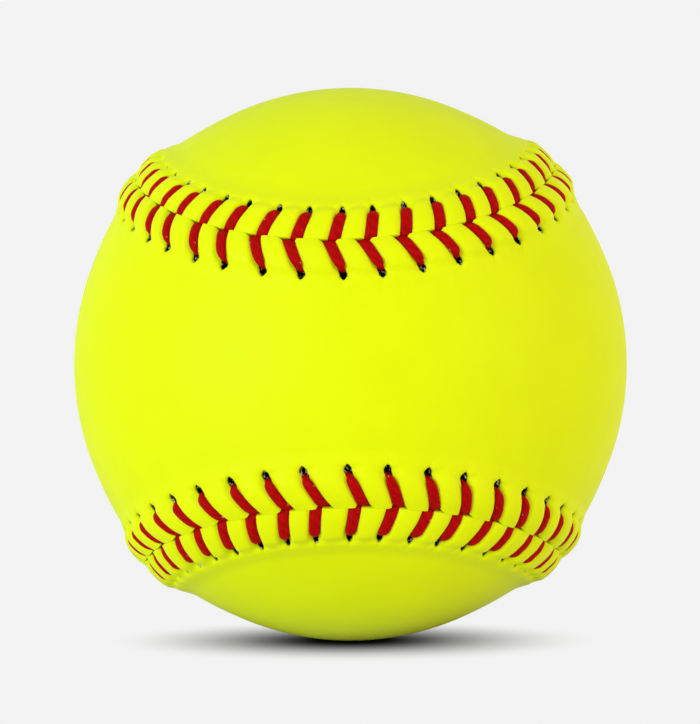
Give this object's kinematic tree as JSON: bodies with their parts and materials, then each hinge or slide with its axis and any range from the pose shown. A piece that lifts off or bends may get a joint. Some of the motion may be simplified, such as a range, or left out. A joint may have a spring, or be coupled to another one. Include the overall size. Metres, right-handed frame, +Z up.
{
  "type": "softball",
  "caption": "Stitched leather ball: interlocking figure-eight cover panels cemented over a firm core and closed by a raised herringbone seam, for pitching and batting.",
  "frame": {"origin": "centre of the ball", "axes": "+Z up; -Y towards the viewer, out of the waist of cover panel A; X along panel A's two lobes, Z along panel B's"},
  "size_m": [0.097, 0.0983, 0.097],
  "materials": {
    "core_foam": "matt moulded foam",
    "cement": "dried, dull",
    "cover_leather": "satin grain, optic yellow",
    "waxed_thread": "waxed twist, red"
  },
  "bodies": {
    "root": {"core": "core_foam", "cement_film_a": "cement", "cement_film_b": "cement", "cover_panel_a": "cover_leather", "cover_panel_b": "cover_leather", "thread_strand_a": "waxed_thread", "thread_strand_b": "waxed_thread"}
  },
  "joints": []
}
